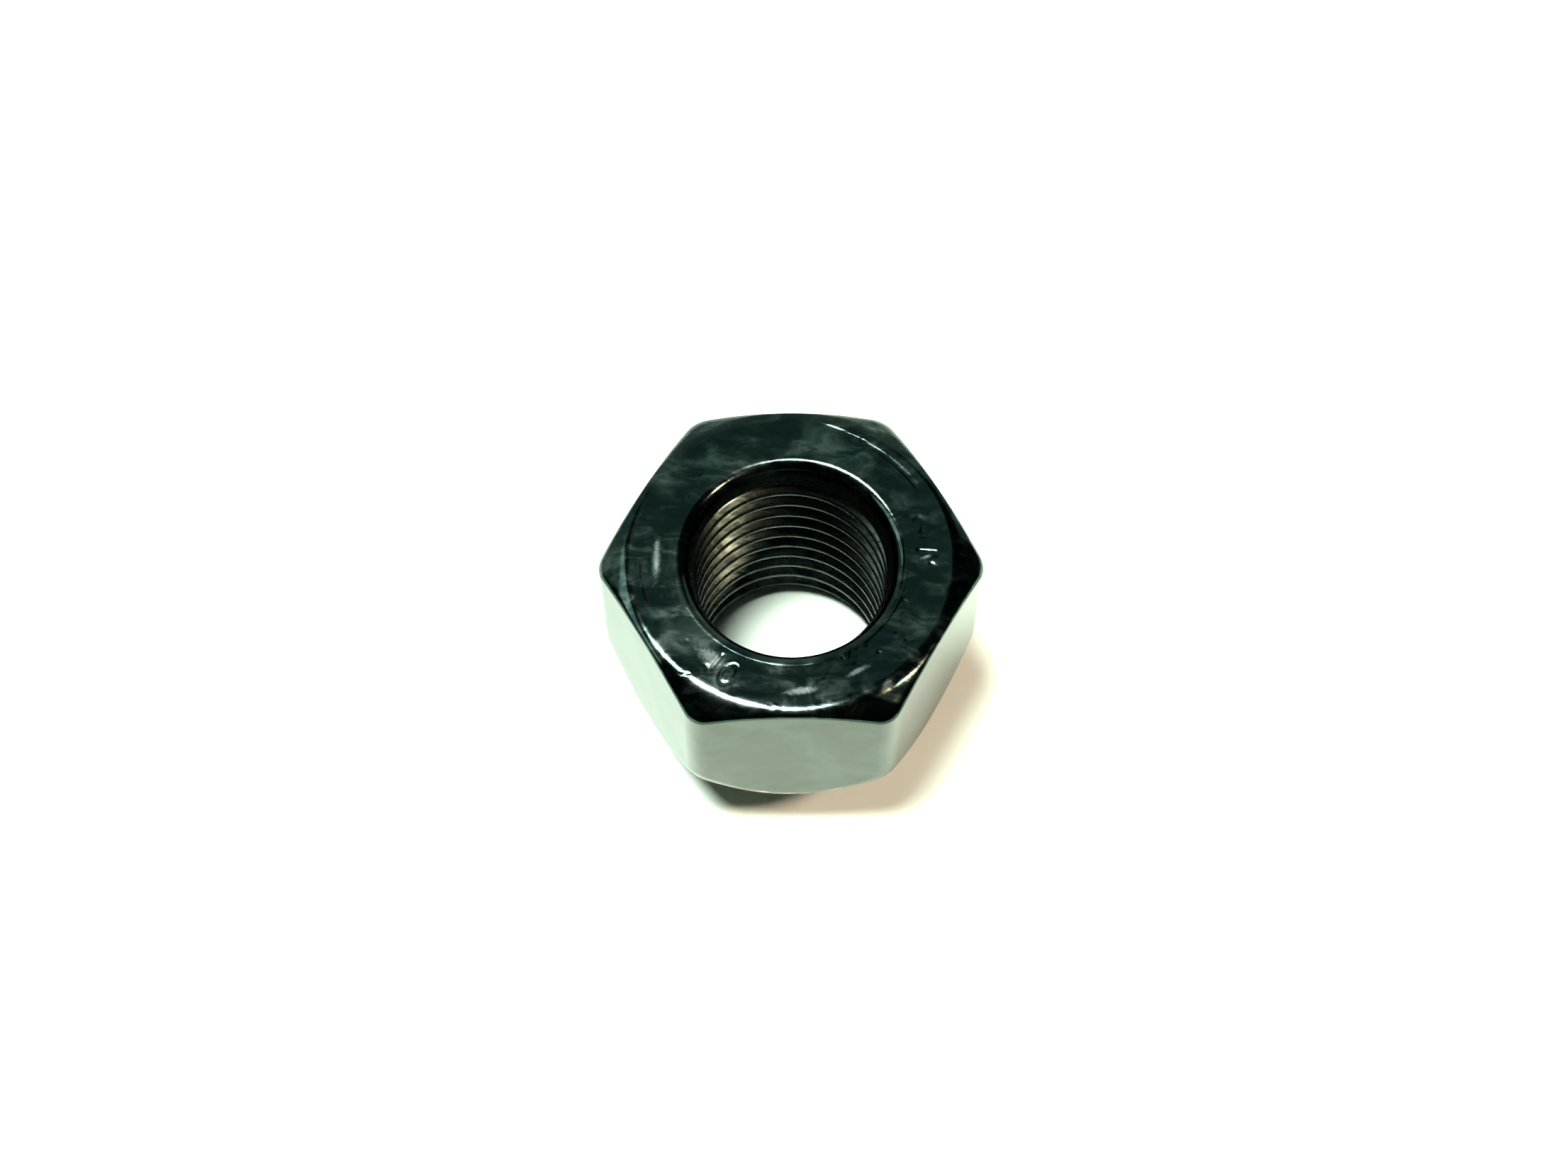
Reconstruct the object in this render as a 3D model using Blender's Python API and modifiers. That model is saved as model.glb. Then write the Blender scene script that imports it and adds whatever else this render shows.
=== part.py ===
"""Open hexagon wheel nut, M14 x 1.5, with a 60 degree cone seat.

One turned and tapped piece of steel. Units are metres and +Z is up. The nut
stands on the small end of its cone seat: the origin is the centre of that
ring, +Z runs along the thread axis and two of the six wrench flats face -Y
and +Y.
"""
import math

import bmesh
import bpy

MM = 0.001

# Driving dimensions
ACROSS_FLATS = 22.0 * MM
NUT_HEIGHT = 18.0 * MM
CORNER_RADIUS = 1.4 * MM
TOP_FACE_DIAMETER = 19.6 * MM
TOP_CHAMFER_ANGLE = math.radians(30.0)
SEAT_SMALL_DIAMETER = 16.5 * MM
SEAT_INCLUDED_ANGLE = math.radians(60.0)
THREAD_DIAMETER = 14.0 * MM
THREAD_PITCH = 1.5 * MM
THREAD_CREST_HEIGHT = 1.245 * MM    # lowest whole crest on the +X side, above the base
COUNTERSINK_DIAMETER = 14.4 * MM
COUNTERSINK_INCLUDED_ANGLE = math.radians(60.0)

# ISO metric thread form, as parts of the pitch
FLANK_HALF_ANGLE = math.radians(30.0)
MAJOR_FLAT = THREAD_PITCH / 8.0
MINOR_FLAT = THREAD_PITCH / 4.0
FLANK_LENGTH = (THREAD_PITCH - MAJOR_FLAT - MINOR_FLAT) / 2.0
MAJOR_RADIUS = THREAD_DIAMETER / 2.0
MINOR_RADIUS = MAJOR_RADIUS - FLANK_LENGTH / math.tan(FLANK_HALF_ANGLE)

# Fineness of the round shapes
ENVELOPE_STEPS = 96
BORE_STEPS = 48
CORNER_SEGMENTS = 4

OVERCUT = 1.0 * MM                  # how far a cutter stands out of the nut
WELD_DISTANCE = 0.0001 * MM

STEEL_COLOUR = (0.024, 0.050, 0.055, 1.0)
STEEL_ROUGHNESS = 0.3
STEEL_METALLIC = 1.0


def clear_scene():
    for old in list(bpy.data.objects):
        bpy.data.objects.remove(old, do_unlink=True)


def new_collection(name):
    collection = bpy.data.collections.new(name)
    bpy.context.scene.collection.children.link(collection)
    return collection


def move_to(obj, collection):
    for current in list(obj.users_collection):
        current.objects.unlink(obj)
    collection.objects.link(obj)


def mark_as_cutter(obj, collection):
    move_to(obj, collection)
    obj.hide_render = True
    obj.display_type = 'WIRE'


def half_step(steps):
    """A turn that keeps a cutter's facet edges off those of the shape it cuts."""
    return math.pi / steps


def profile_object(name, points):
    """An open edge chain in the XZ plane, given as radius and height."""
    mesh = bpy.data.meshes.new(name)
    edges = [(i, i + 1) for i in range(len(points) - 1)]
    mesh.from_pydata([(radius, 0.0, height) for radius, height in points], edges, [])
    obj = bpy.data.objects.new(name, mesh)
    bpy.context.scene.collection.objects.link(obj)
    return obj


def add_screw(obj, steps, turns=1, pitch=0.0):
    screw = obj.modifiers.new("Screw", 'SCREW')
    screw.axis = 'Z'
    screw.angle = math.tau
    screw.steps = steps
    screw.render_steps = steps
    screw.iterations = turns
    screw.screw_offset = pitch
    screw.use_merge_vertices = True
    screw.merge_threshold = WELD_DISTANCE


def add_boolean(obj, cutter, operation):
    boolean = obj.modifiers.new(cutter.name, 'BOOLEAN')
    boolean.operation = operation
    boolean.solver = 'EXACT'
    boolean.object = cutter


def hexagon_bar(name):
    """The hexagon bar that the nut is made from, with rounded corners."""
    circumradius = ACROSS_FLATS / math.sqrt(3.0)
    bpy.ops.mesh.primitive_cylinder_add(vertices=6, radius=circumradius,
                                        depth=NUT_HEIGHT + 2.0 * OVERCUT)
    bar = bpy.context.active_object
    bar.name = name
    bm = bmesh.new()
    bm.from_mesh(bar.data)
    # A six-sided primitive has a corner on +Y: a twelfth of a turn puts a flat there.
    turn = math.radians(30.0)
    for vertex in bm.verts:
        x, y, z = vertex.co
        vertex.co = (x * math.cos(turn) - y * math.sin(turn),
                     x * math.sin(turn) + y * math.cos(turn),
                     z + NUT_HEIGHT / 2.0)
    upright = [edge for edge in bm.edges
               if abs(edge.verts[0].co.z - edge.verts[1].co.z) > NUT_HEIGHT / 2.0]
    # The bevel width that leaves an arc of the wanted radius in a 120 degree corner.
    setback = CORNER_RADIUS * math.tan(math.radians(30.0))
    bmesh.ops.bevel(bm, geom=upright, offset=setback, offset_type='OFFSET',
                    segments=CORNER_SEGMENTS, profile=0.5, affect='EDGES')
    bm.to_mesh(bar.data)
    bm.free()
    return bar


def envelope_profile():
    """Top face, top chamfer and cone seat, turned round the axis."""
    outer = ACROSS_FLATS / math.sqrt(3.0) + OVERCUT
    top = TOP_FACE_DIAMETER / 2.0
    seat = SEAT_SMALL_DIAMETER / 2.0
    chamfer_drop = (outer - top) * math.tan(TOP_CHAMFER_ANGLE)
    seat_rise = (outer - seat) / math.tan(SEAT_INCLUDED_ANGLE / 2.0)
    return [(0.0, NUT_HEIGHT), (top, NUT_HEIGHT), (outer, NUT_HEIGHT - chamfer_drop),
            (outer, seat_rise), (seat, 0.0), (0.0, 0.0)]


def thread_profile(top):
    """One pitch of the thread form, from a minor flat down to the next one."""
    points = [(MINOR_RADIUS, top)]
    for radius, drop in ((MINOR_RADIUS, MINOR_FLAT), (MAJOR_RADIUS, FLANK_LENGTH),
                         (MAJOR_RADIUS, MAJOR_FLAT), (MINOR_RADIUS, FLANK_LENGTH)):
        points.append((radius, points[-1][1] - drop))
    return points


def close_ends(mesh):
    """Weld the turns of a screwed mesh and draw its two open ends in to the axis."""
    bm = bmesh.new()
    bm.from_mesh(mesh)
    bmesh.ops.remove_doubles(bm, verts=bm.verts, dist=WELD_DISTANCE)
    middle = NUT_HEIGHT / 2.0
    rims = [edge for edge in bm.edges if edge.is_boundary]
    for above in (False, True):
        rim = [edge for edge in rims if (edge.verts[0].co.z > middle) == above]
        level = sum(edge.verts[0].co.z for edge in rim) / len(rim)
        fan = bmesh.ops.extrude_edge_only(bm, edges=rim)["geom"]
        tips = [item for item in fan if isinstance(item, bmesh.types.BMVert)]
        bmesh.ops.pointmerge(bm, verts=tips, merge_co=(0.0, 0.0, level))
    bmesh.ops.triangulate(bm, faces=bm.faces)
    bmesh.ops.recalc_face_normals(bm, faces=bm.faces)
    bm.to_mesh(mesh)
    bm.free()


def thread_tap(name):
    """The threaded rod that is subtracted to leave the right-hand internal thread."""
    turns_below = 2
    turns = turns_below + math.ceil(NUT_HEIGHT / THREAD_PITCH) + 2
    top = THREAD_CREST_HEIGHT + MINOR_FLAT / 2.0 - turns_below * THREAD_PITCH
    chain = profile_object(name + "_profile", thread_profile(top))
    add_screw(chain, BORE_STEPS, turns, THREAD_PITCH)
    graph = bpy.context.evaluated_depsgraph_get()
    mesh = bpy.data.meshes.new_from_object(chain.evaluated_get(graph))
    bpy.data.objects.remove(chain, do_unlink=True)
    close_ends(mesh)
    tap = bpy.data.objects.new(name, mesh)
    bpy.context.scene.collection.objects.link(tap)
    return tap


def countersink(name, at_top):
    """A cone cutter that opens one mouth of the thread."""
    slope = math.tan(COUNTERSINK_INCLUDED_ANGLE / 2.0)
    mouth = COUNTERSINK_DIAMETER / 2.0
    depth = mouth / slope
    length = depth + OVERCUT
    outward = 1.0 if at_top else -1.0
    face = NUT_HEIGHT if at_top else 0.0
    wide = mouth + OVERCUT * slope
    bpy.ops.mesh.primitive_cone_add(
        vertices=BORE_STEPS, depth=length,
        radius1=0.0 if at_top else wide, radius2=wide if at_top else 0.0,
        location=(0.0, 0.0, face + outward * (OVERCUT - length / 2.0)),
        rotation=(0.0, 0.0, half_step(BORE_STEPS)))
    cutter = bpy.context.active_object
    cutter.name = name
    return cutter


def steel_material():
    material = bpy.data.materials.new("black_zinc_steel")
    material.use_nodes = True
    shader = material.node_tree.nodes["Principled BSDF"]
    shader.inputs["Base Color"].default_value = STEEL_COLOUR
    shader.inputs["Roughness"].default_value = STEEL_ROUGHNESS
    shader.inputs["Metallic"].default_value = STEEL_METALLIC
    material.diffuse_color = STEEL_COLOUR
    return material


def build():
    clear_scene()
    parts = new_collection("hex_nut")
    cutters = new_collection("cutters")

    nut = hexagon_bar("nut_body")
    move_to(nut, parts)
    nut.data.materials.append(steel_material())

    envelope = profile_object("turned_envelope", envelope_profile())
    add_screw(envelope, ENVELOPE_STEPS)
    envelope.rotation_euler.z = half_step(ENVELOPE_STEPS)
    mark_as_cutter(envelope, cutters)
    add_boolean(nut, envelope, 'INTERSECT')

    for cutter in (thread_tap("thread_tap"),
                   countersink("top_countersink", at_top=True),
                   countersink("bottom_countersink", at_top=False)):
        mark_as_cutter(cutter, cutters)
        add_boolean(nut, cutter, 'DIFFERENCE')


build()
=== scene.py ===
import math
import random

import bpy
import numpy as np
from mathutils import Matrix, Vector


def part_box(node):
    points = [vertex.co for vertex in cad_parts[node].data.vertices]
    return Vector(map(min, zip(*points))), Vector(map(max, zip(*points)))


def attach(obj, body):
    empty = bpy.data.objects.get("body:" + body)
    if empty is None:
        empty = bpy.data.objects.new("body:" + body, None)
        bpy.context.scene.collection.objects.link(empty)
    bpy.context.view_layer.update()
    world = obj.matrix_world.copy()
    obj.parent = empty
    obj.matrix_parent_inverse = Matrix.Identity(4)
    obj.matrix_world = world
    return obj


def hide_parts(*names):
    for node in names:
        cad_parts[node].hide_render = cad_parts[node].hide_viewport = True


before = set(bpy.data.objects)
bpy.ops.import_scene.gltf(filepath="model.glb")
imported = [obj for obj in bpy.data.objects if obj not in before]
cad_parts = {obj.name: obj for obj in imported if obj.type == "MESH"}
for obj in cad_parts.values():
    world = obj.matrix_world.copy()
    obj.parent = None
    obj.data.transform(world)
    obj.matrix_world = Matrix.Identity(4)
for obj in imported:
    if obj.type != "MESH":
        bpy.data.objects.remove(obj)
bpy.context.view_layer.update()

mm = 0.001
mergeWithin = 0.0005                # mm, vertices nearer than this are one
cornerAngle = math.radians(30)      # from the middle of a flat round to a corner

# the nut stands on the small end of its cone seat, thread axis up, a corner on +X
nutLow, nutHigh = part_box("nut_body")
nutHeight = (nutHigh.z - nutLow.z) / mm
acrossFlats = (nutHigh.y - nutLow.y) / mm


def deselectAll():
    bpy.ops.object.select_all(action="DESELECT")


def makeActive(obj):
    deselectAll()
    obj.select_set(True)
    bpy.context.view_layer.objects.active = obj


def hexToLinear(code):
    # sRGB, as a colour picker shows it, to the linear values that Blender mixes
    parts = [int(code[i:i + 2], 16) / 255 for i in (1, 3, 5)]
    return [p / 12.92 if p <= 0.04045 else ((p + 0.055) / 1.055) ** 2.4 for p in parts] + [1.0]


# the camera looks down on the nut from the front, a flat towards the viewer
cameraSettings = {
    "aim": (-0.41, 2.33, 9.0),     # mm
    "azimuth": -0.95,              # degrees, 0 looks along +Y
    "elevation": 63.8,
    "distance": 174.3,             # mm
    "roll": 0.7,
    "lens": 59.2,
    "sensor": 36.0,
    "clipStart": 5.0,              # mm
}


def makeCamera(s):
    azimuth, elevation = math.radians(s["azimuth"]), math.radians(s["elevation"])
    back = Vector((math.sin(azimuth) * math.cos(elevation),
                   -math.cos(azimuth) * math.cos(elevation), math.sin(elevation)))
    bpy.ops.object.camera_add(location=(Vector(s["aim"]) + back * s["distance"]) * mm)
    camera = bpy.context.active_object
    camera.name = "mainCamera"
    level = (-back).to_track_quat("-Z", "Y").to_matrix()
    camera.rotation_euler = (level @ Matrix.Rotation(math.radians(s["roll"]), 3, "Z")).to_euler()
    camera.data.lens = s["lens"]
    camera.data.sensor_width = s["sensor"]
    camera.data.clip_start = s["clipStart"] * mm
    bpy.context.scene.camera = camera


makeCamera(cameraSettings)
print("camera placed")


# a profile is a list of corners, each given as (radius, height, rounding) in mm
def roundCorners(corners, segments):
    points = []
    for i, (r, z, rounding) in enumerate(corners):
        here = Vector((r, z))
        if rounding == 0 or i in (0, len(corners) - 1):
            points.append(here)
            continue
        before = (Vector(corners[i - 1][:2]) - here).normalized()
        after = (Vector(corners[i + 1][:2]) - here).normalized()
        half = before.angle(after) / 2
        setback = rounding / math.tan(half)
        centre = here + (before + after).normalized() * (rounding / math.sin(half))
        start = here + before * setback - centre
        end = here + after * setback - centre
        turn = start.angle_signed(end)
        for step in range(segments + 1):
            angle = -turn * step / segments
            c, s = math.cos(angle), math.sin(angle)
            points.append(centre + Vector((start.x * c - start.y * s, start.x * s + start.y * c)))
    return points


def fillIn(points, spacing):
    # spacing(r, z) is the longest step wanted there
    filled = [points[0]]
    for a, b in zip(points, points[1:]):
        middle = (a + b) / 2
        pieces = max(1, math.ceil((b - a).length / spacing(middle.x, middle.y)))
        for k in range(1, pieces + 1):
            filled.append(a.lerp(b, k / pieces))
    return filled


def drawChain(name, points):
    # one vertex, pulled from point to point
    deselectAll()
    bpy.ops.mesh.primitive_plane_add(size=mm, location=(points[0].x * mm, 0, points[0].y * mm))
    chain = bpy.context.active_object
    chain.name = name
    chain.data.name = name
    bpy.ops.object.transform_apply(location=True, rotation=True, scale=True)
    bpy.ops.object.mode_set(mode="EDIT")
    bpy.ops.mesh.select_all(action="SELECT")
    bpy.ops.mesh.merge(type="CENTER")
    for a, b in zip(points, points[1:]):
        step = (b - a) * mm
        bpy.ops.mesh.extrude_region_move(TRANSFORM_OT_translate={"value": (step.x, 0, step.y)})
    bpy.ops.object.mode_set(mode="OBJECT")
    return chain


def readPoints(obj):
    flat = np.empty(len(obj.data.vertices) * 3)
    obj.data.vertices.foreach_get("co", flat)
    return flat.reshape(-1, 3) / mm


def writePoints(obj, points):
    obj.data.vertices.foreach_set("co", (points * mm).ravel())
    obj.data.update()


# the turned blank, in mm and degrees
blank = {
    "faceEdge": 10.64, "faceDrop": 0.05,       # the face falls a little from the bore to its edge
    "chamferSlope": 32.0, "outside": 13.6,
    "seatEnd": 8.25, "seatHalfAngle": 30.0,
    "mouth": 6.9, "mouthHalfAngle": 20.0, "recess": 5.6,
    "lipRounding": 0.85, "faceRounding": 1.8, "endRounding": 0.35, "roundingSteps": 8,
    "steps": 480, "crowding": 0.45,
    # longest step along the profile: where the tap and the mill cut it away, where little shows, and on
    # the seat, the face and the chamfer
    "tappedStep": 9.0, "milledStep": 1.2, "plainStep": 0.6, "seatStep": 0.2, "faceStep": 0.11,
    "chamferStep": 0.17,
    "plainBeyond": 12.8, "plainWithinMouth": 0.3, "plainBelow": 4.0, "faceReach": 11.3,
}


def turnBlank(s):
    chamfer = math.tan(math.radians(s["chamferSlope"]))
    seat = math.tan(math.radians(s["seatHalfAngle"]))
    mouth = math.tan(math.radians(s["mouthHalfAngle"]))
    faceEdgeHeight = nutHeight - s["faceDrop"]
    recessDepth = (s["mouth"] - s["recess"]) / mouth
    corners = [
        (0, nutHeight - recessDepth, 0),
        (s["recess"], nutHeight - recessDepth, 0),
        (s["mouth"], nutHeight, s["lipRounding"]),
        (s["faceEdge"], faceEdgeHeight, s["faceRounding"]),
        (s["outside"], faceEdgeHeight - (s["outside"] - s["faceEdge"]) * chamfer, 0),
        (s["outside"], (s["outside"] - s["seatEnd"]) / seat, 0),
        (s["seatEnd"], 0, s["endRounding"]),
        (s["mouth"], 0, s["lipRounding"]),
        (s["recess"], recessDepth, 0),
        (0, recessDepth, 0),
    ]
    justShort = 0.01

    def spacing(r, z):
        if r < s["recess"] - justShort:
            return s["tappedStep"]
        if r > s["outside"] - justShort:
            return s["milledStep"]
        if r > s["plainBeyond"] or r < s["mouth"] - s["plainWithinMouth"] or z < s["plainBelow"]:
            return s["plainStep"]
        if z < nutHeight / 2:
            return s["seatStep"]
        return s["faceStep"] if r < s["faceReach"] else s["chamferStep"]

    points = fillIn(roundCorners(corners, s["roundingSteps"]), spacing)
    body = drawChain("hexNut", points)
    bpy.ops.object.mode_set(mode="EDIT")
    bpy.ops.mesh.select_all(action="SELECT")
    bpy.ops.mesh.spin(steps=s["steps"], angle=math.tau, center=(0, 0, 0), axis=(0, 0, 1))
    bpy.ops.mesh.select_all(action="SELECT")
    bpy.ops.mesh.remove_doubles(threshold=mergeWithin * mm)
    bpy.ops.mesh.normals_make_consistent(inside=False)
    bpy.ops.object.mode_set(mode="OBJECT")
    print("blank turned:", len(points), "points in the profile,", len(body.data.polygons), "faces")
    return body


nut = turnBlank(blank)

# six flats milled on the blank, with rounded corners between them, in mm
hexagon = {
    "cornerRounding": 1.7,
    "edgeSoftness": 0.28, "cornerSoftness": 0.5,    # the edges are rounded more at the six corners
    "cornerFalloff": 3,
}


def hexagonRadius(angle, flat, rounding):
    fromFlat = np.abs((angle + math.tau) % (2 * cornerAngle) - cornerAngle)
    onFlat = flat / np.cos(fromFlat)
    centre = (flat - rounding) / math.cos(cornerAngle)
    fromCorner = cornerAngle - fromFlat
    across = np.minimum(np.abs(centre * np.sin(fromCorner)), rounding)
    onArc = centre * np.cos(fromCorner) + np.sqrt(rounding ** 2 - across ** 2)
    tangent = math.atan((flat - rounding) * math.tan(cornerAngle) / flat)
    return np.where(fromFlat > tangent, onArc, onFlat)


def softMinimum(a, b, softness):
    near = np.clip(1 - np.abs(a - b) / softness, 0, 1)
    return np.minimum(a, b) - near ** 2 * softness / 4


def millFlats(obj, s):
    p = readPoints(obj)
    radius = np.hypot(p[:, 0], p[:, 1])
    angle = np.arctan2(p[:, 1], p[:, 0])
    angle = angle - blank["crowding"] * np.sin(6 * angle) / 6   # more vertices near the corners
    limit = hexagonRadius(angle, acrossFlats / 2, s["cornerRounding"])
    corner = ((1 + np.cos(6 * angle)) / 2) ** s["cornerFalloff"]
    softness = s["edgeSoftness"] + (s["cornerSoftness"] - s["edgeSoftness"]) * corner
    radius = softMinimum(radius, limit, softness)
    writePoints(obj, np.column_stack([radius * np.cos(angle), radius * np.sin(angle), p[:, 2]]))


millFlats(nut, hexagon)
print("flats milled")

# what stamping, tumbling and handling left on the face: strokes as (radius, azimuth, radius, azimuth),
# in mm and degrees
faceMarks = {
    "faceDepth": 1.2,       # how far below the top vertices still count as the face
    # a groove has a low shoulder on each side, this many widths out and this many wide
    "shoulderAt": 1.9, "shoulderWidth": 0.8,
    # a plain bar and a dot, the usual clock-face strength mark
    "bar": [(8.2, 4, 9.3, 3), (8.75, 20, 8.8, 20.4)], "barWidth": 0.13, "barDepth": 0.035, "barShoulder": 0.4,
    # nicks from other nuts in the drum: how many, over which azimuths and radii, how long, wide and deep
    "nicks": [(17, (-80, -18), (7.6, 9.3), (0.3, 1.1), (0.09, 0.16), (0.01, 0.03)),
              (7, (-10, 26), (7.7, 9.5), (0.3, 0.9), (0.09, 0.15), (0.02, 0.045)),
              (10, (60, 250), (7.5, 10.1), (0.2, 0.9), (0.08, 0.12), (0.008, 0.018))],
    "nickDirections": (-80, 90), "nickFade": 0.8, "nickShoulder": 0.45, "seed": 12,
    "scratches": [(7.7, 83, 10.1, 85), (8.2, 118, 9.4, 109), (9.0, 147, 9.9, 151), (10.2, -98, 10.8, -95),
                  (10.3, -129, 10.7, -131)],
    "scratchWidth": 0.08, "scratchDepth": 0.02, "scratchShoulder": 0.5,
    # pits as (radius, azimuth, size), each this share of its size deep
    "pits": [(8.3, 134, 0.2), (8.8, -139, 0.12)], "pitDepth": 0.2, "pitShoulder": 0.2,
    # a turning line near the edge, from the back round to the right, that drifts outwards on the way back
    "lineRadius": 9.74, "lineDrift": 0.45, "lineDriftFrom": 45, "lineDriftOver": 35,
    "lineWidth": 0.15, "lineDepth": 0.055, "lineFrom": 22, "lineFadeIn": 12, "lineTo": 86, "lineFadeOut": 10,
    # a long scoop on the left, with a crease outside it, whose angles count from the left
    "scoopRadius": 8.75, "scoopWidth": 0.3, "scoopDepth": 0.05, "scoopHalfAngle": 8,
    "creaseRadius": 9.85, "creaseWidth": 0.14, "creaseDepth": 0.05,
    "creaseFrom": -3, "creaseFadeIn": 6, "creaseTo": 26, "creaseFadeOut": 10,
}
# the number of the nut's strength class, in mm and degrees
classNumber = {
    "radius": 8.9, "azimuth": -120, "height": 1.5, "gap": 1.2, "lean": -8,
    "width": 0.12, "depth": 0.035, "shoulder": 0.4,
    # strokes of a 1, and the width and sides of a 0, on a grid one unit high
    "one": [(-0.18, 0.28, 0.05, 0.5), (0.05, 0.5, 0.05, -0.5)],
    "zeroHalfWidth": 0.3, "zeroSides": 14,
}


def polar(radius, azimuth):
    return np.array([radius * math.cos(math.radians(azimuth)), radius * math.sin(math.radians(azimuth))])


def alongStroke(p, a, b):
    # 0 at the start of a stroke and 1 at its end
    along = b - a
    return np.clip(((p[:, :2] - a) @ along) / max(along @ along, 1e-9), 0, 1)


def distanceToStroke(p, a, b):
    nearest = a + alongStroke(p, a, b)[:, None] * (b - a)
    return np.hypot(*(p[:, :2] - nearest).T)


def bell(distance, width):
    return np.exp(-(distance / width) ** 2)


def fadedRange(value, start, fadeIn, end, fadeOut):
    return np.clip((value - start) / fadeIn, 0, 1) * np.clip((end - value) / fadeOut, 0, 1)


def numberStrokes(s):
    out = polar(1, s["azimuth"] + s["lean"])
    across = np.array([-out[1], out[0]])
    middle = polar(s["radius"], s["azimuth"])

    def place(u, v):
        return middle + across * u + out * v * s["height"]

    left, right = -s["gap"] / 2, s["gap"] / 2
    strokes = [(place(u0 * s["height"] + left, v0), place(u1 * s["height"] + left, v1))
               for u0, v0, u1, v1 in s["one"]]
    turns = [k * math.tau / s["zeroSides"] for k in range(s["zeroSides"] + 1)]
    ring = [place(right + s["zeroHalfWidth"] * s["height"] * math.cos(turn), math.sin(turn) / 2)
            for turn in turns]
    return strokes + list(zip(ring, ring[1:]))


def pressMarks(obj, s, number):
    p = readPoints(obj)
    onFace = p[:, 2] > nutHeight - s["faceDepth"]
    q = p[onFace]
    drop = np.zeros(len(q))

    def press(distance, width, depth, shoulder):
        # the metal from the groove was pushed up beside it
        raised = bell(distance - s["shoulderAt"] * width, s["shoulderWidth"] * width)
        drop[:] += depth * (bell(distance, width) - shoulder * raised)

    def pressLines(lines, width, depth, shoulder):
        press(np.min([distanceToStroke(q, a, b) for a, b in lines], axis=0), width, depth, shoulder)

    pressLines(numberStrokes(number), number["width"], number["depth"], number["shoulder"])
    barStrokes = [(polar(*m[:2]), polar(*m[2:])) for m in s["bar"]]
    pressLines(barStrokes, s["barWidth"], s["barDepth"], s["barShoulder"])
    chance = random.Random(s["seed"])
    for count, azimuths, radii, lengths, widths, depths in s["nicks"]:
        for _ in range(count):
            a = polar(chance.uniform(*radii), chance.uniform(*azimuths))
            b = a + polar(chance.uniform(*lengths), chance.uniform(*s["nickDirections"]))
            width, depth = chance.uniform(*widths), chance.uniform(*depths)
            # deepest where it was struck, nearly running out at its end
            fading = depth * (1 - s["nickFade"] * alongStroke(q, a, b))
            press(distanceToStroke(q, a, b), width, fading, s["nickShoulder"])
    for m in s["scratches"]:
        distance = distanceToStroke(q, polar(*m[:2]), polar(*m[2:]))
        press(distance, s["scratchWidth"], s["scratchDepth"], s["scratchShoulder"])
    for radius, azimuth, size in s["pits"]:
        distance = distanceToStroke(q, polar(radius, azimuth), polar(radius, azimuth))
        press(distance, size, s["pitDepth"] * size, s["pitShoulder"])

    radius = np.hypot(q[:, 0], q[:, 1])
    azimuth = np.degrees(np.arctan2(q[:, 1], q[:, 0]))
    drift = np.clip((azimuth - s["lineDriftFrom"]) / s["lineDriftOver"], 0, 1) ** 2
    fade = fadedRange(azimuth, s["lineFrom"], s["lineFadeIn"], s["lineTo"], s["lineFadeOut"])
    drop += fade * s["lineDepth"] * bell(radius - s["lineRadius"] - s["lineDrift"] * drift, s["lineWidth"])
    fromLeft = azimuth % 360 - 180
    fade = np.exp(-(fromLeft / s["scoopHalfAngle"]) ** 4)
    drop += fade * s["scoopDepth"] * bell(radius - s["scoopRadius"], s["scoopWidth"])
    fade = fadedRange(fromLeft, s["creaseFrom"], s["creaseFadeIn"], s["creaseTo"], s["creaseFadeOut"])
    drop += fade * s["creaseDepth"] * bell(radius - s["creaseRadius"], s["creaseWidth"])
    q[:, 2] = np.minimum(q[:, 2] - drop, nutHeight)
    p[onFace] = q
    writePoints(obj, p)


pressMarks(nut, faceMarks, classNumber)
print("face marked")

# the forging's uneven skin: slow waves pressed inwards, kept off the bore and the lower end, in mm
skin = {
    "waves": ((5.0, 0.02), (1.7, 0.014)),      # wavelength and depth
    "fromMouth": 0.6, "fromLowerEnd": 0.4,
}


def roughenSkin(obj, s):
    makeActive(obj)
    group = obj.vertex_groups.new(name="outsideSkin")
    p = readPoints(obj)
    radius = np.hypot(p[:, 0], p[:, 1])
    outside = np.flatnonzero((radius > blank["mouth"] + s["fromMouth"]) & (p[:, 2] > s["fromLowerEnd"]))
    group.add(outside.tolist(), 1.0, "REPLACE")
    for wavelength, depth in s["waves"]:
        waves = bpy.data.textures.new("skinWaves", "CLOUDS")
        waves.noise_scale = wavelength * mm
        waves.noise_depth = 1
        push = obj.modifiers.new("Skin", "DISPLACE")
        push.texture = waves
        push.texture_coords = "LOCAL"
        push.direction = "NORMAL"
        push.mid_level = 1.0
        push.strength = depth * mm
        push.vertex_group = group.name
        bpy.ops.object.modifier_apply(modifier="Skin")
    obj.vertex_groups.clear()


roughenSkin(nut, skin)
print("skin roughened")

# the tap: a threaded rod that leaves the right-hand thread in the blank, in mm and degrees
thread = {
    "diameter": 14.0, "pitch": 1.5, "flankAngle": 30.0, "crestHeight": 1.245,
    "crestRounding": 0.3, "roundingSteps": 5,
    "steps": 120, "spareTurns": 2,
    "fadeStart": 2.0, "fadeEnd": 0.9, "fadeRadius": 6.15,     # depths below a mouth where the thread dies out
    "smoothUpTo": 38.0,                                       # edges sharper than this stay sharp
}


def selectOnlyEdges(mesh, edges):
    for parts in (mesh.vertices, mesh.edges, mesh.polygons):
        parts.foreach_set("select", [False] * len(parts))
    for edge in edges:
        edge.select = True
        for i in edge.vertices:
            mesh.vertices[i].select = True


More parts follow.
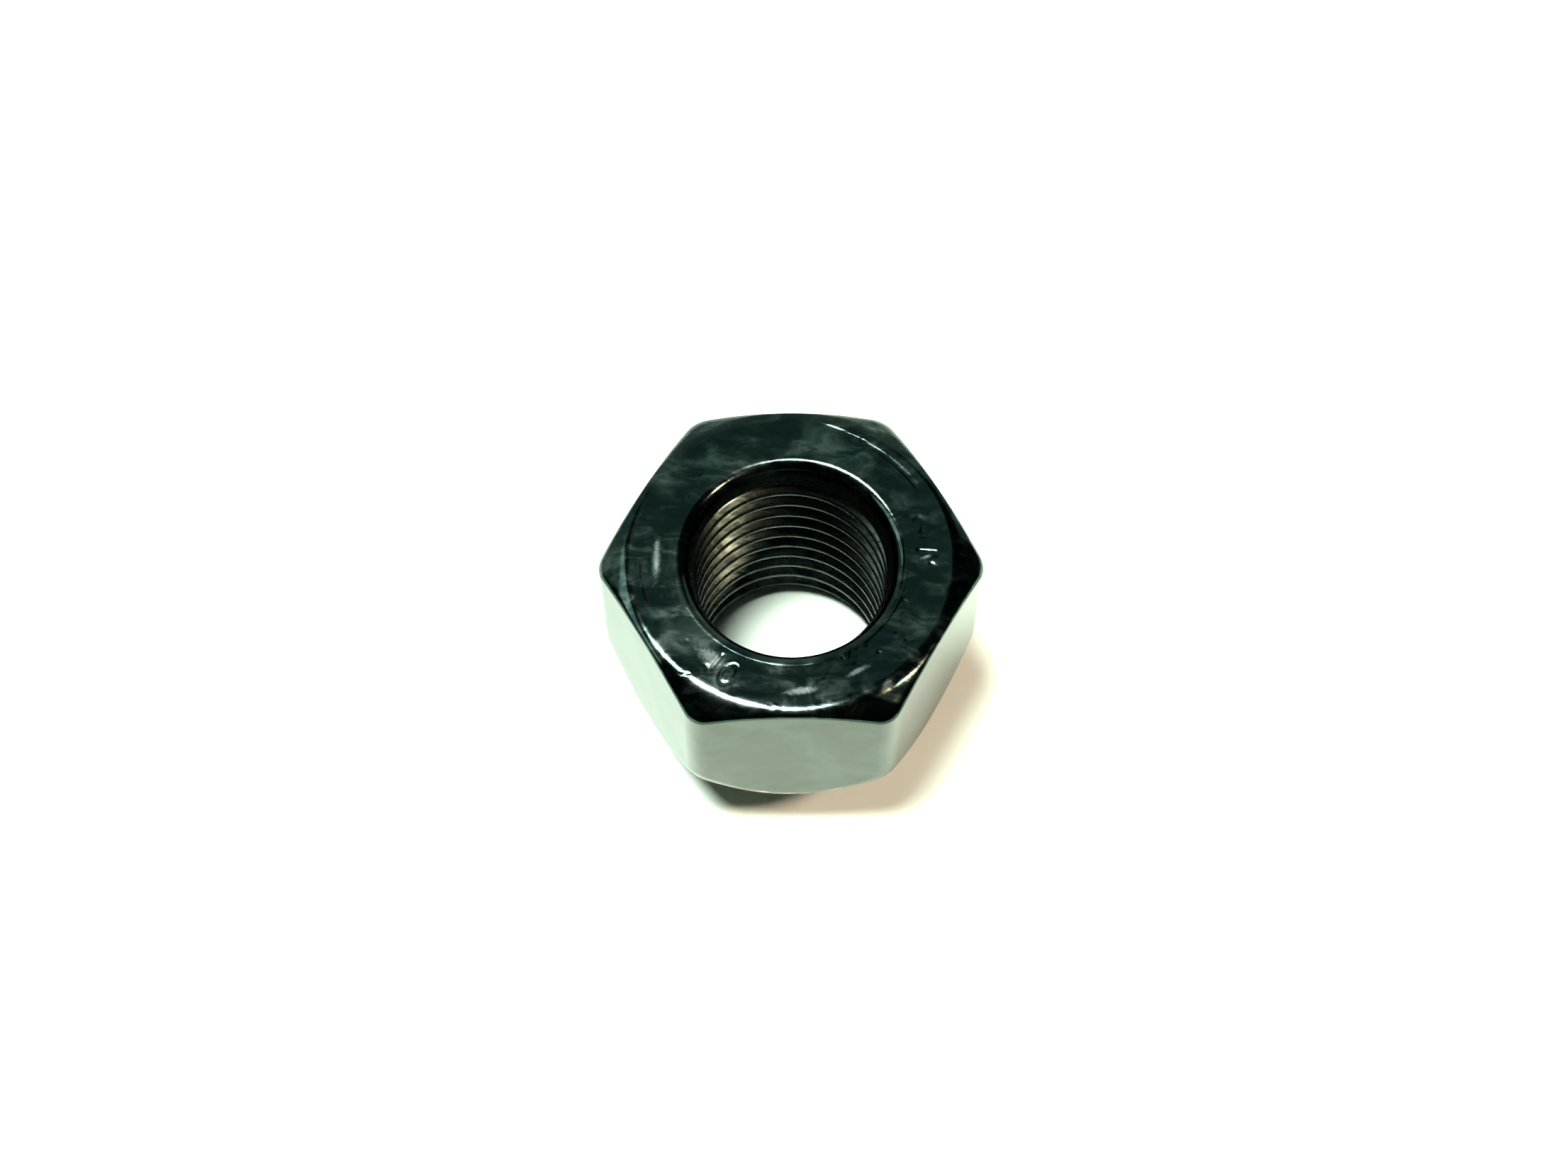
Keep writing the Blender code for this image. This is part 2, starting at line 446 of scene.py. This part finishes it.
def closeEnds(tap, reach):
    # each open end of the rod is pulled out and drawn in to one point
    for end in (-1, 1):
        bpy.ops.object.mode_set(mode="EDIT")
        bpy.ops.mesh.select_mode(type="EDGE")
        bpy.ops.mesh.select_all(action="DESELECT")
        bpy.ops.mesh.select_non_manifold(extend=False, use_wire=False, use_boundary=True,
                                         use_multi_face=False, use_non_contiguous=False, use_verts=False)
        bpy.ops.object.mode_set(mode="OBJECT")
        rim = [edge for edge in tap.data.edges if edge.select
               and (tap.data.vertices[edge.vertices[0]].co.z / mm - nutHeight / 2) * end > 0]
        selectOnlyEdges(tap.data, rim)
        bpy.ops.object.mode_set(mode="EDIT")
        bpy.ops.mesh.extrude_edges_move(TRANSFORM_OT_translate={"value": (0, 0, end * reach * mm)})
        bpy.ops.mesh.merge(type="CENTER")
        bpy.ops.object.mode_set(mode="OBJECT")


def cutThread(obj, s):
    # the metric profile: in the nut, a crest is a quarter of a pitch wide and a root an eighth
    pitch = s["pitch"]
    root = halfCrest = pitch / 8
    flank = (pitch - root - 2 * halfCrest) / 2
    major = s["diameter"] / 2
    minor = major - flank / math.tan(math.radians(s["flankAngle"]))
    turns = s["spareTurns"] + math.ceil(nutHeight / pitch) + s["spareTurns"]
    start = s["crestHeight"] - s["spareTurns"] * pitch
    corners = [
        (minor, start, 0),
        (minor, start - halfCrest, s["crestRounding"]),
        (major, start - halfCrest - flank, 0),
        (major, start - halfCrest - flank - root, 0),
        (minor, start - pitch + halfCrest, s["crestRounding"]),
        (minor, start - pitch, 0),
    ]
    tap = drawChain("threadTap", roundCorners(corners, s["roundingSteps"]))
    screw = tap.modifiers.new("Screw", "SCREW")
    screw.axis = "Z"
    screw.steps = screw.render_steps = s["steps"]
    screw.iterations = turns
    screw.screw_offset = pitch * mm
    screw.use_merge_vertices = False
    bpy.ops.object.modifier_apply(modifier="Screw")
    bpy.ops.object.mode_set(mode="EDIT")
    bpy.ops.mesh.select_all(action="SELECT")
    bpy.ops.mesh.remove_doubles(threshold=mergeWithin * mm)
    bpy.ops.object.mode_set(mode="OBJECT")
    closeEnds(tap, pitch)
    bpy.ops.object.mode_set(mode="EDIT")
    bpy.ops.mesh.select_mode(type="VERT")
    bpy.ops.mesh.select_all(action="SELECT")
    bpy.ops.mesh.quads_convert_to_tris()
    bpy.ops.mesh.normals_make_consistent(inside=False)
    bpy.ops.object.mode_set(mode="OBJECT")
    # the thread dies out before it reaches either mouth
    p = readPoints(tap)
    radius = np.maximum(np.hypot(p[:, 0], p[:, 1]), 1e-6)
    depth = np.minimum(p[:, 2], nutHeight - p[:, 2])
    share = np.clip((depth - s["fadeEnd"]) / (s["fadeStart"] - s["fadeEnd"]), 0, 1)
    limit = s["fadeRadius"] + (major - s["fadeRadius"]) * share
    p[:, :2] *= (np.minimum(radius, limit) / radius)[:, None]
    writePoints(tap, p)

    makeActive(obj)
    cut = obj.modifiers.new("Tap", "BOOLEAN")
    cut.operation = "DIFFERENCE"
    cut.solver = "EXACT"
    cut.object = tap
    bpy.ops.object.modifier_apply(modifier="Tap")
    bpy.data.objects.remove(tap, do_unlink=True)
    makeActive(obj)
    bpy.ops.object.shade_smooth_by_angle(angle=math.radians(s["smoothUpTo"]))
    print("thread cut:", len(obj.data.polygons), "faces")


cutThread(nut, thread)


def addNode(tree, kind, settings=None, inputs=None):
    node = tree.nodes.new(kind)
    for name, value in (settings or {}).items():
        setattr(node, name, value)
    for name, value in (inputs or {}).items():
        if isinstance(value, bpy.types.NodeSocket):
            tree.links.new(value, node.inputs[name])
        else:
            node.inputs[name].default_value = value
    return node


def newMaterial(name):
    material = bpy.data.materials.new(name)
    material.use_nodes = True
    return material, material.node_tree, material.node_tree.nodes["Principled BSDF"]


zinc = {
    "glassy": "#22342e", "worn": "#5b7169", "blueCast": "#1c3032", "flat": "#2a362e", "flatWorn": "#3d4b42",
    # the pale colour for the lower edge of the flats is partly rubbed plating and partly a painted highlight
    # the pale scuff colour is partly scuffed plating and partly a painted highlight, standing in for the glint
    # in the scoop on the left
    "bore": "#3a4640", "boreDark": "#1f2a27", "rubbedEdgeAndPaintedHighlight": "#c9c6b4", "scuffedAndPaintedGlint": "#6f857b",
    # sizes in mm: clouds in the plating, smears from handling, turned and drawn out, and the fine grain
    "blotchSize": 4.545, "smearSize": 1.538, "smearTurn": 0.6, "smearStretch": (0.7, 1.4, 1),
    "grainSize": 0.1667, "cloudy": {"Detail": 5.0, "Roughness": 0.6, "Distortion": 0.9}, "grainDetail": 2.0,
    # a mask follows a pattern or a place: it changes smoothly between two values of it, from low to high
    "masks": {
        "upright": ("facing", 0.55, 0.25, 0, 1), "level": ("facing", 0.5, 0.5001, 0, 1),
        "inBore": ("radius", 6.7, 6.5, 0, 1), "outside": ("radius", 7.2, 7.8, 0, 1),
        "smeared": ("smears", 0.42, 0.72, 0, 0.62), "clouded": ("blotches", 0.45, 0.7, 0, 0.31),
        "cool": ("blotches", 0.52, 0.36, 0, 0.75), "oily": ("smears", 0.45, 0.62, 0, 1),
        "faded": ("blotches", 0.4, 0.62, 0, 0.5),
        "lowerEdge": ("aboveSeat", -0.12, -0.4, 0, 1), "offSeat": ("facing", -0.42, -0.15, 0, 1),
    },
    # colours over the glassy skin, in order, each where all its masks meet
    "layers": [("worn", ["mottled"]), ("blueCast", ["cool"]),
               ("bore", ["inBore"]), ("boreDark", ["inBore", "oily"]),
               ("flat", ["onFlat"]), ("flatWorn", ["onFlat", "faded"]),
               # the pale lower edge of the flats: partly rubbed plating, partly a painted highlight
               ("rubbedEdgeAndPaintedHighlight", ["lowerEdge", "onFlat", "offSeat"])],
    "glossMottle": 0.5, "glossRange": (0.4, 0.95), "faceRoughness": (0.1, 0.2), "flatRoughness": 0.24,
    "boreSmears": (0.35, 0.65), "boreRoughness": (0.26, 0.38),
    # x, y, half length and half width in mm, angle in degrees, and how frayed and dull a scuff is
    # the first scuff, over the scoop on the left, is a painted highlight standing in for the glint the scoop
    # catches; the others are scuffed plating
    "scuffsAndPaintedGlint": [(-8.68, -0.05, 1.7, 0.32, 88), (-5.0, -7.0, 1.3, 0.7, -40), (4.1, -7.9, 0.9, 0.22, 30),
               (0.6, -9.2, 1.3, 0.3, 8), (5.9, -8.9, 0.9, 0.35, 50), (8.6, 0.1, 0.5, 0.16, 20)],
    "scuffEdge": (2.3, 1.4), "smearFray": 1.6, "grainFray": 0.7, "scuffDulling": 0.12,
    # relief: its height in mm, how much of it is grain, and its strength on the face, flats and bore
    "reliefHeight": 0.02, "grainShare": 0.12, "boreGrainShare": 0.02,
    "faceRelief": 0.45, "flatRelief": 0.15, "boreRelief": 0.5,
}


def blackZinc(s):
    # black zinc over steel: a dark glassy green-grey skin, dull where handled, and pale along the lower edge
    # of the flats, partly rubbed plating and partly a painted highlight
    material, tree, shader = newMaterial("blackZincPlatedSteel")
    place = addNode(tree, "ShaderNodeTexCoord").outputs["Object"]
    inMm = addNode(tree, "ShaderNodeVectorMath", {"operation": "SCALE"},
                   {0: place, "Scale": 1 / mm}).outputs[0]
    up = addNode(tree, "ShaderNodeSeparateXYZ", None, {0: inMm}).outputs["Z"]
    flatPlace = addNode(tree, "ShaderNodeVectorMath", {"operation": "MULTIPLY"},
                        {0: inMm, 1: (1, 1, 0)}).outputs[0]
    radius = addNode(tree, "ShaderNodeVectorMath", {"operation": "LENGTH"}, {0: flatPlace}).outputs["Value"]
    normal = addNode(tree, "ShaderNodeNewGeometry").outputs["Normal"]
    facing = addNode(tree, "ShaderNodeSeparateXYZ", None, {0: normal}).outputs["Z"]
    drawnOut = addNode(tree, "ShaderNodeMapping", None, {
        "Vector": inMm, "Rotation": (0, 0, s["smearTurn"]), "Scale": s["smearStretch"]}).outputs[0]
    blotches = addNode(tree, "ShaderNodeTexNoise", None, {
        "Vector": inMm, "Scale": 1 / s["blotchSize"], **s["cloudy"]}).outputs["Fac"]
    smears = addNode(tree, "ShaderNodeTexNoise", None, {
        "Vector": drawnOut, "Scale": 1 / s["smearSize"], **s["cloudy"]}).outputs["Fac"]
    grain = addNode(tree, "ShaderNodeTexNoise", None, {
        "Vector": inMm, "Scale": 1 / s["grainSize"], "Detail": s["grainDetail"]}).outputs["Fac"]

    # height above the cone of the seat, made ragged by the smears
    slope = 1 / math.tan(math.radians(blank["seatHalfAngle"]))
    cone = addNode(tree, "ShaderNodeMath", {"operation": "MULTIPLY_ADD"},
                   {0: radius, 1: slope, 2: -blank["seatEnd"] * slope}).outputs[0]
    above = addNode(tree, "ShaderNodeMath", {"operation": "SUBTRACT"}, {0: up, 1: cone}).outputs[0]
    above = addNode(tree, "ShaderNodeMath", {"operation": "SUBTRACT"}, {0: above, 1: smears}).outputs[0]

    patterns = {"radius": radius, "facing": facing, "blotches": blotches, "smears": smears, "aboveSeat": above}
    masks = {}
    for name, (pattern, start, end, low, high) in s["masks"].items():
        masks[name] = addNode(tree, "ShaderNodeMapRange", {"interpolation_type": "SMOOTHSTEP"}, {
            "Value": patterns[pattern], "From Min": start, "From Max": end, "To Min": low,
            "To Max": high}).outputs["Result"]
    masks["onFlat"] = addNode(tree, "ShaderNodeMath", {"operation": "MULTIPLY"},
                              {0: masks["upright"], 1: masks["outside"]}).outputs[0]
    masks["mottled"] = addNode(tree, "ShaderNodeMath", {"operation": "ADD"},
                               {0: masks["smeared"], 1: masks["clouded"]}).outputs[0]

    # colour: mottled on the face, even on the flats, and pale along the lower edge of the flats, partly rubbed
    # plating and partly a painted highlight
    # inputs 6 and 7 and output 2 of a Mix node are its colours
    colour = hexToLinear(s["glassy"])
    for layer, names in s["layers"]:
        mask = masks[names[0]]
        for name in names[1:]:
            mask = addNode(tree, "ShaderNodeMath", {"operation": "MULTIPLY"},
                           {0: mask, 1: masks[name]}).outputs[0]
        colour = addNode(tree, "ShaderNodeMix", {"data_type": "RGBA"},
                         {"Factor": mask, 6: colour, 7: hexToLinear(s[layer])}).outputs[2]

    # gloss: the face is glassiest, and the bore has a cutter's finish
    mottled = addNode(tree, "ShaderNodeMath", {"operation": "MULTIPLY_ADD"},
                      {0: masks["mottled"], 1: s["glossMottle"], 2: blotches}).outputs[0]
    finishes = []
    for pattern, (start, end), (low, high) in ((mottled, s["glossRange"], s["faceRoughness"]),
                                               (smears, s["boreSmears"], s["boreRoughness"])):
        finishes.append(addNode(tree, "ShaderNodeMapRange", {"interpolation_type": "SMOOTHSTEP"}, {
            "Value": pattern, "From Min": start, "From Max": end, "To Min": low,
            "To Max": high}).outputs["Result"])
    gloss, boreFinish = finishes
    for mask, finish in ((masks["inBore"], boreFinish), (masks["onFlat"], s["flatRoughness"])):
        gloss = addNode(tree, "ShaderNodeMix", {"data_type": "FLOAT"},
                        {"Factor": mask, "A": gloss, "B": finish}).outputs[0]

    # matt scuffs on the face, with frayed edges; their pale colour is partly scuffed plating and partly
    # painted highlight, the long scuff over the scoop on the left standing in for the glint the scoop catches
    fray = addNode(tree, "ShaderNodeMath", {"operation": "MULTIPLY"},
                   {0: smears, 1: s["smearFray"]}).outputs[0]
    fray = addNode(tree, "ShaderNodeMath", {"operation": "MULTIPLY_ADD"},
                   {0: grain, 1: s["grainFray"], 2: fray}).outputs[0]
    for x, y, halfLength, halfWidth, angle in s["scuffsAndPaintedGlint"]:
        fromScuff = addNode(tree, "ShaderNodeMapping", {"vector_type": "TEXTURE"}, {
            "Vector": flatPlace, "Location": (x, y, 0), "Rotation": (0, 0, math.radians(angle)),
            "Scale": (halfLength, halfWidth, 1)}).outputs[0]
        reach = addNode(tree, "ShaderNodeVectorMath", {"operation": "LENGTH"}, {0: fromScuff}).outputs["Value"]
        reach = addNode(tree, "ShaderNodeMath", {"operation": "ADD"}, {0: reach, 1: fray}).outputs[0]
        scuffedAndPaintedGlint = addNode(tree, "ShaderNodeMapRange", {"interpolation_type": "SMOOTHSTEP"}, {
            "Value": reach, "From Min": s["scuffEdge"][0], "From Max": s["scuffEdge"][1]}).outputs["Result"]
        scuffedAndPaintedGlint = addNode(tree, "ShaderNodeMath", {"operation": "MULTIPLY"},
                          {0: scuffedAndPaintedGlint, 1: masks["level"]}).outputs[0]
        colour = addNode(tree, "ShaderNodeMix", {"data_type": "RGBA"},
                         {"Factor": scuffedAndPaintedGlint, 6: colour, 7: hexToLinear(s["scuffedAndPaintedGlint"])}).outputs[2]
        gloss = addNode(tree, "ShaderNodeMath", {"operation": "MULTIPLY_ADD"},
                        {0: scuffedAndPaintedGlint, 1: s["scuffDulling"], 2: gloss}).outputs[0]

    # relief: a soft orange peel on the face, fine grain on the flats
    share = addNode(tree, "ShaderNodeMath", {"operation": "MULTIPLY_ADD"}, {
        0: masks["inBore"], 1: s["boreGrainShare"] - s["grainShare"], 2: s["grainShare"]}).outputs[0]
    height = addNode(tree, "ShaderNodeMath", {"operation": "MULTIPLY_ADD"},
                     {0: grain, 1: share, 2: smears}).outputs[0]
    strength = addNode(tree, "ShaderNodeMapRange", {"interpolation_type": "SMOOTHSTEP"}, {
        "Value": masks["upright"], "To Min": s["faceRelief"], "To Max": s["flatRelief"]}).outputs["Result"]
    strength = addNode(tree, "ShaderNodeMath", {"operation": "MULTIPLY_ADD"},
                       {0: masks["inBore"], 1: s["boreRelief"], 2: strength}).outputs[0]
    relief = addNode(tree, "ShaderNodeBump", None, {
        "Strength": strength, "Distance": s["reliefHeight"] * mm, "Height": height}).outputs["Normal"]

    shader.inputs["Metallic"].default_value = 1.0
    tree.links.new(colour, shader.inputs["Base Color"])
    tree.links.new(gloss, shader.inputs["Roughness"])
    tree.links.new(relief, shader.inputs["Normal"])
    return material


nut.data.materials.clear()
nut.data.materials.append(blackZinc(zinc))
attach(nut, "root")
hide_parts("nut_body")
print("nut finished")

# the stage: a pale floor and a dim room, in mm
stage = {"floorSize": 900.0, "floorColour": "#f4f3ef", "floorRoughness": 0.9, "roomColour": "#262b2c"}


def makeFloor(s):
    deselectAll()
    bpy.ops.mesh.primitive_plane_add(size=s["floorSize"] * mm, location=(0, 0, 0))
    floor = bpy.context.active_object
    floor.name = "paleFloor"
    material, tree, shader = newMaterial("palePaper")
    shader.inputs["Base Color"].default_value = hexToLinear(s["floorColour"])
    shader.inputs["Roughness"].default_value = s["floorRoughness"]
    floor.data.materials.append(material)


def makeRoom(s):
    world = bpy.data.worlds.new("dimStudio")
    bpy.context.scene.world = world
    world.use_nodes = True
    world.node_tree.nodes["Background"].inputs["Color"].default_value = hexToLinear(s["roomColour"])
    world.node_tree.nodes["Background"].inputs["Strength"].default_value = 1.0
    bpy.context.scene.view_settings.view_transform = "Standard"


makeFloor(stage)
makeRoom(stage)

lights = {
    # azimuth from +X and elevation in degrees, distance and widths in mm, power in watts
    "keyOverhead": {"azimuth": 178, "elevation": 78.4, "distance": 700, "size": (240, 240), "power": 14.2,
                    "colour": "#eaffef", "shinesOn": "floor"},
    "keyReflection": {"azimuth": 158, "elevation": 79.5, "distance": 690, "size": (430, 150), "power": 13.0,
                      "colour": "#ffe9ee", "shinesOn": "metal"},
    "warmLamp": {"azimuth": -12, "elevation": 50, "distance": 700, "size": (100, 100), "power": 3.7,
                 "colour": "#ffebcc", "shinesOn": "floor"},
    "frontFill": {"azimuth": -110, "elevation": 35, "distance": 800, "size": (500, 500), "power": 0.45,
                  "colour": "#ecffd4", "shinesOn": "floor"},
    "warmReflection": {"azimuth": -22, "elevation": 47, "distance": 690, "size": (110, 110), "power": 2.4,
                       "colour": "#ffd0b4", "shinesOn": "metal"},
    "ceilingGlow": {"azimuth": 92, "elevation": 57, "distance": 700, "size": (330, 520), "power": 0.24,
                    "colour": "#c2dcd8", "shinesOn": "metal"},
    "backWall": {"azimuth": 100, "elevation": 22, "distance": 900, "size": (760, 3400), "power": 4.2,
                 "colour": "#dfe8e0", "shinesOn": "metal"},
    "leftWindow": {"azimuth": 168, "elevation": 38, "distance": 800, "size": (380, 600), "power": 2.0,
                   "colour": "#e8ece8", "shinesOn": "metal"},
}


def addLight(name, s):
    azimuth, elevation = math.radians(s["azimuth"]), math.radians(s["elevation"])
    towards = Vector((math.cos(azimuth) * math.cos(elevation),
                      math.sin(azimuth) * math.cos(elevation), math.sin(elevation)))
    bpy.ops.object.light_add(type="AREA", location=towards * s["distance"] * mm)
    light = bpy.context.active_object
    light.name = name
    light.rotation_euler = (0, math.pi / 2 - elevation, azimuth)
    light.data.shape = "ELLIPSE"
    light.data.size, light.data.size_y = (width * mm for width in s["size"])
    light.data.energy = s["power"]
    light.data.color = hexToLinear(s["colour"])[:3]
    # the floor and the metal are lit apart, so a shadow can be soft while a reflection stays small
    light.visible_camera = False
    light.visible_glossy = s["shinesOn"] == "metal"
    light.visible_diffuse = s["shinesOn"] == "floor"


for name, settings in lights.items():
    addLight(name, settings)
print("stage lit")
